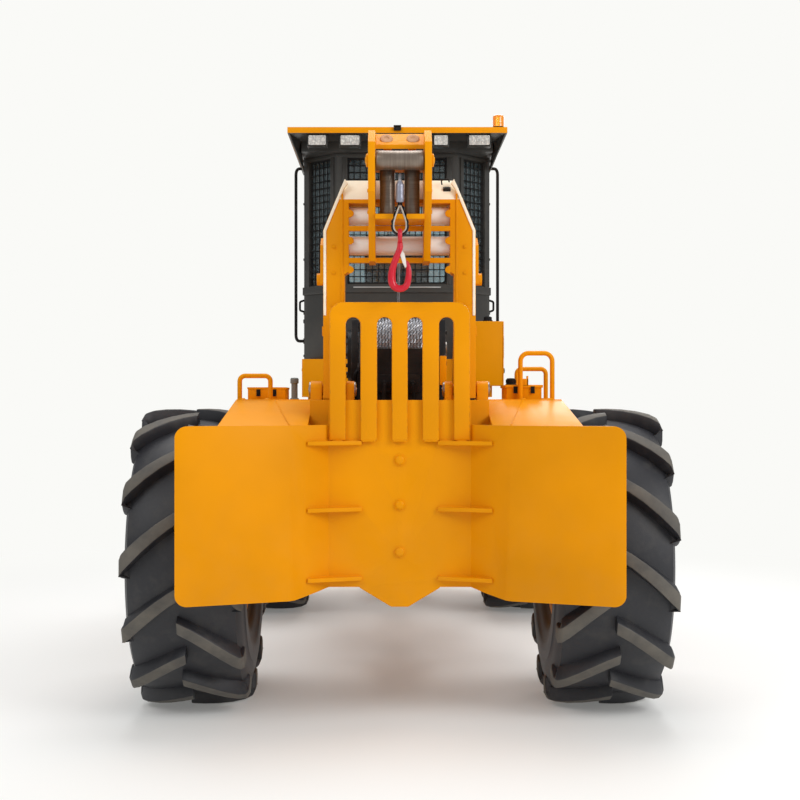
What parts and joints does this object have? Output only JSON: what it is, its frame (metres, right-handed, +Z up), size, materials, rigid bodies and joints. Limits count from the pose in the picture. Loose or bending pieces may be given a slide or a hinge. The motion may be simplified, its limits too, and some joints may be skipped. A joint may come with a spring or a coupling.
{
  "type": "cable skidder",
  "caption": "Articulated four-wheel forestry skidder with winch, arch and butt plate behind, cab and dozer blade in front.",
  "frame": {"origin": "on the ground below the middle of the machine's box", "axes": "+X to the machine's right, +Y forward to the dozer blade, +Z up"},
  "size_m": [2.8, 5.55, 3.4989],
  "materials": {
    "yellow_paint": "satin",
    "rim_paint": "satin",
    "cream_paint": "satin",
    "roller_steel": "worn",
    "winch_paint": "satin",
    "wire_rope": "greased",
    "hook_red": "gloss",
    "axle_paint": "satin",
    "chrome_rod": "polished",
    "tyre": "matte",
    "cab_paint": "satin",
    "window_glass": "clear",
    "seat_fabric": "woven",
    "console_plastic": "grained",
    "rail_black": "satin",
    "lamp": "ribbed",
    "amber_lens": "clear",
    "stack_steel": "heat stained"
  },
  "bodies": {
    "rear": {"rear_frame": "yellow_paint", "butt_plate": "yellow_paint", "log_guard": "yellow_paint", "rear_fenders": "yellow_paint", "deck_rails": "yellow_paint", "arch": "yellow_paint", "arch_spacers": "cream_paint", "fairlead_head": "yellow_paint", "winch_housing": "winch_paint", "winch_cable": "wire_rope", "rear_axle": "axle_paint", "driveshaft": "axle_paint"},
    "front": {"front_frame": "yellow_paint", "tow_hitch": "yellow_paint", "cab_base": "yellow_paint", "cab_shell": "cab_paint", "cab_roof": "yellow_paint", "cab_glass": "window_glass", "window_guards": "rail_black", "seat": "seat_fabric", "steering_console": "console_plastic", "cab_rails": "rail_black", "work_lamps": "lamp", "beacon": "amber_lens", "front_grille": "cab_paint", "engine": "axle_paint", "exhaust_stack": "stack_steel", "hydraulic_tank": "yellow_paint"},
    "roller_top": {"roller_top": "roller_steel"},
    "roller_left": {"roller_left": "roller_steel"},
    "roller_right": {"roller_right": "roller_steel"},
    "winch_drum": {"winch_drum": "wire_rope"},
    "hook": {"hook": "hook_red"},
    "wheel_rear_left": {"tyre_rear_left": "tyre", "rim_rear_left": "rim_paint"},
    "wheel_rear_right": {"tyre_rear_right": "tyre", "rim_rear_right": "rim_paint"},
    "steer_barrel_left": {"steer_barrel_left": "axle_paint"},
    "steer_rod_left": {"steer_rod_left": "chrome_rod"},
    "steer_barrel_right": {"steer_barrel_right": "axle_paint"},
    "steer_rod_right": {"steer_rod_right": "chrome_rod"},
    "door_left": {"door_left": "cab_paint", "door_glass_left": "window_glass"},
    "door_right": {"door_right": "cab_paint", "door_glass_right": "window_glass"},
    "hood": {"hood": "yellow_paint"},
    "front_axle": {"front_axle": "axle_paint"},
    "wheel_front_left": {"tyre_front_left": "tyre", "rim_front_left": "rim_paint"},
    "wheel_front_right": {"tyre_front_right": "tyre", "rim_front_right": "rim_paint"},
    "blade": {"dozer_blade": "yellow_paint"},
    "blade_barrels": {"blade_barrels": "axle_paint"},
    "blade_rods": {"blade_rods": "chrome_rod"}
  },
  "joints": [
    {"name": "articulation", "type": "hinge", "parent": "rear", "child": "front", "pos_m": [0, -0.175, 0.9], "axis": [0, 0, 1], "range_deg": [-45, 45]},
    {"name": "axle_oscillation", "type": "hinge", "parent": "front", "child": "front_axle", "pos_m": [0, 1.475, 0.805], "axis": [0, 1, 0], "range_deg": [-15, 15]},
    {"name": "wheel_rear_left_turn", "type": "hinge", "parent": "rear", "child": "wheel_rear_left", "pos_m": [-1.095, -1.825, 0.805], "axis": [1, 0, 0], "continuous": true},
    {"name": "wheel_rear_right_turn", "type": "hinge", "parent": "rear", "child": "wheel_rear_right", "pos_m": [1.095, -1.825, 0.805], "axis": [1, 0, 0], "continuous": true},
    {"name": "wheel_front_left_turn", "type": "hinge", "parent": "front_axle", "child": "wheel_front_left", "pos_m": [-1, 1.475, 0.805], "axis": [1, 0, 0], "continuous": true},
    {"name": "wheel_front_right_turn", "type": "hinge", "parent": "front_axle", "child": "wheel_front_right", "pos_m": [1, 1.475, 0.805], "axis": [1, 0, 0], "continuous": true},
    {"name": "winch_turn", "type": "hinge", "parent": "rear", "child": "winch_drum", "pos_m": [0, -1.35, 1.96], "axis": [1, 0, 0], "continuous": true},
    {"name": "roller_top_turn", "type": "hinge", "parent": "rear", "child": "roller_top", "pos_m": [0, -2.465, 2.866], "axis": [1, 0, 0], "continuous": true},
    {"name": "roller_left_turn", "type": "hinge", "parent": "rear", "child": "roller_left", "pos_m": [-0.063, -2.375, 2.719], "axis": [0, 0, 1], "continuous": true},
    {"name": "roller_right_turn", "type": "hinge", "parent": "rear", "child": "roller_right", "pos_m": [0.063, -2.375, 2.719], "axis": [0, 0, 1], "continuous": true},
    {"name": "hook_swing", "type": "hinge", "parent": "rear", "child": "hook", "pos_m": [0, -2.49018, 2.4798], "axis": [1, 0, 0], "range_deg": [-70, 40]},
    {"name": "steer_barrel_left_swing", "type": "hinge", "parent": "rear", "child": "steer_barrel_left", "pos_m": [-0.33, -0.815, 0.88], "axis": [0, 0, 1], "range_deg": [-20, 20]},
    {"name": "steer_rod_left_slide", "type": "slide", "parent": "steer_barrel_left", "child": "steer_rod_left", "axis": [0.133, 0.9911, 0], "range_m": [-0.26, 0.26]},
    {"name": "steer_barrel_right_swing", "type": "hinge", "parent": "rear", "child": "steer_barrel_right", "pos_m": [0.33, -0.815, 0.88], "axis": [0, 0, 1], "range_deg": [-20, 20]},
    {"name": "steer_rod_right_slide", "type": "slide", "parent": "steer_barrel_right", "child": "steer_rod_right", "axis": [-0.133, 0.9911, 0], "range_m": [-0.26, 0.26]},
    {"name": "door_left_open", "type": "hinge", "parent": "front", "child": "door_left", "pos_m": [-0.655, 0.79, 2.535], "axis": [0, 0, -1], "range_deg": [0, 85]},
    {"name": "door_right_open", "type": "hinge", "parent": "front", "child": "door_right", "pos_m": [0.655, 0.79, 2.535], "axis": [0, 0, 1], "range_deg": [0, 85]},
    {"name": "hood_open", "type": "hinge", "parent": "front", "child": "hood", "pos_m": [0, 2.137, 1.79], "axis": [-1, 0, 0], "range_deg": [0, 60]},
    {"name": "blade_lift", "type": "hinge", "parent": "front", "child": "blade", "pos_m": [0, 1.805, 0.72], "axis": [1, 0, 0], "range_deg": [-8, 28]},
    {"name": "blade_barrels_swing", "type": "hinge", "parent": "front", "child": "blade_barrels", "pos_m": [0, 2.215, 1.4], "axis": [1, 0, 0], "range_deg": [-20, 30]},
    {"name": "blade_rods_slide", "type": "slide", "parent": "blade_barrels", "child": "blade_rods", "axis": [0, 0.1871, -0.9823], "range_m": [-0.35, 0.35]}
  ],
  "couplings": [
    {"joint": "steer_barrel_left_swing", "follows": "articulation", "ratio": 0.18},
    {"joint": "steer_rod_left_slide", "follows": "articulation", "m_per_rad": -0.24},
    {"joint": "steer_barrel_right_swing", "follows": "articulation", "ratio": 0.18},
    {"joint": "steer_rod_right_slide", "follows": "articulation", "m_per_rad": 0.24},
    {"joint": "blade_barrels_swing", "follows": "blade_lift", "ratio": 0.26},
    {"joint": "blade_rods_slide", "follows": "blade_lift", "m_per_rad": -0.56}
  ]
}
